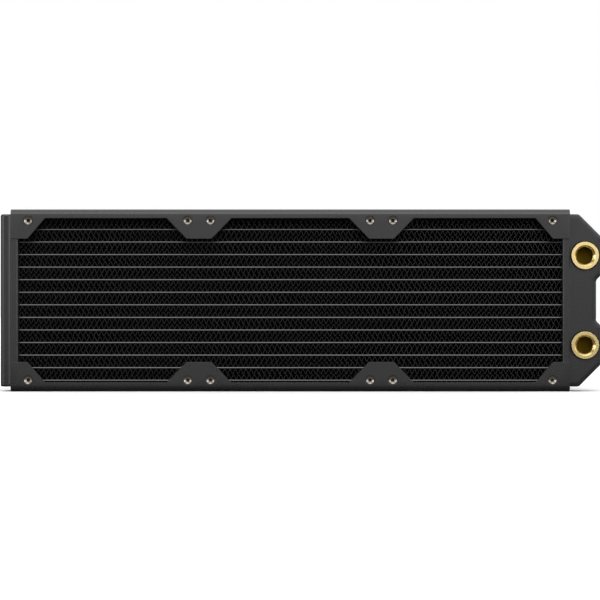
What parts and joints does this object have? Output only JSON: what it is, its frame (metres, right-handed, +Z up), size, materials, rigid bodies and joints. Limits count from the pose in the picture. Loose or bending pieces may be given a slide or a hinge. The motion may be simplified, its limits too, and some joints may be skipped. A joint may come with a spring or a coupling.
{
  "type": "liquid cooling radiator",
  "caption": "Slim liquid cooling radiator for a row of square fans: finned flat-tube core between an end tank with two brass ports and a return tank, held by channel side rails with screw tabs.",
  "frame": {"origin": "centre of the bounding box's bottom face; the radiator stands on its lower long edge", "axes": "+X along the length towards the tank with the ports, -Y towards the front face with the ports, +Z up across the tubes"},
  "size_m": [0.396, 0.03, 0.12],
  "materials": {
    "powder_coat": "fine satin black powder coat",
    "tube_coat": "satin black paint",
    "fin_coat": "thin matt black paint",
    "guard_coat": "satin black paint",
    "port_brass": "machined, clean",
    "inner_brass": "as rolled, dull",
    "bush_steel": "machined, bare"
  },
  "bodies": {
    "root": {"flat_tube_01": "tube_coat", "flat_tube_02": "tube_coat", "flat_tube_03": "tube_coat", "flat_tube_04": "tube_coat", "flat_tube_05": "tube_coat", "flat_tube_06": "tube_coat", "flat_tube_07": "tube_coat", "flat_tube_08": "tube_coat", "flat_tube_09": "tube_coat", "flat_tube_10": "tube_coat", "flat_tube_11": "tube_coat", "flat_tube_12": "tube_coat", "flat_tube_13": "tube_coat", "flat_tube_14": "tube_coat", "fin_bank_01": "fin_coat", "fin_bank_02": "fin_coat", "fin_bank_03": "fin_coat", "fin_bank_04": "fin_coat", "fin_bank_05": "fin_coat", "fin_bank_06": "fin_coat", "fin_bank_07": "fin_coat", "fin_bank_08": "fin_coat", "fin_bank_09": "fin_coat", "fin_bank_10": "fin_coat", "fin_bank_11": "fin_coat", "fin_bank_12": "fin_coat", "fin_bank_13": "fin_coat", "lower_edge_fin": "fin_coat", "upper_edge_fin": "fin_coat", "fin_separators": "fin_coat", "lower_rail": "powder_coat", "upper_rail": "powder_coat", "left_header": "powder_coat", "right_header": "powder_coat", "return_tank": "powder_coat", "port_tank": "powder_coat", "tank_partition": "inner_brass", "upper_port": "port_brass", "lower_port": "port_brass", "front_thread_bushes": "bush_steel", "rear_thread_bushes": "bush_steel", "front_screw_guards": "guard_coat", "rear_screw_guards": "guard_coat"}
  },
  "joints": []
}
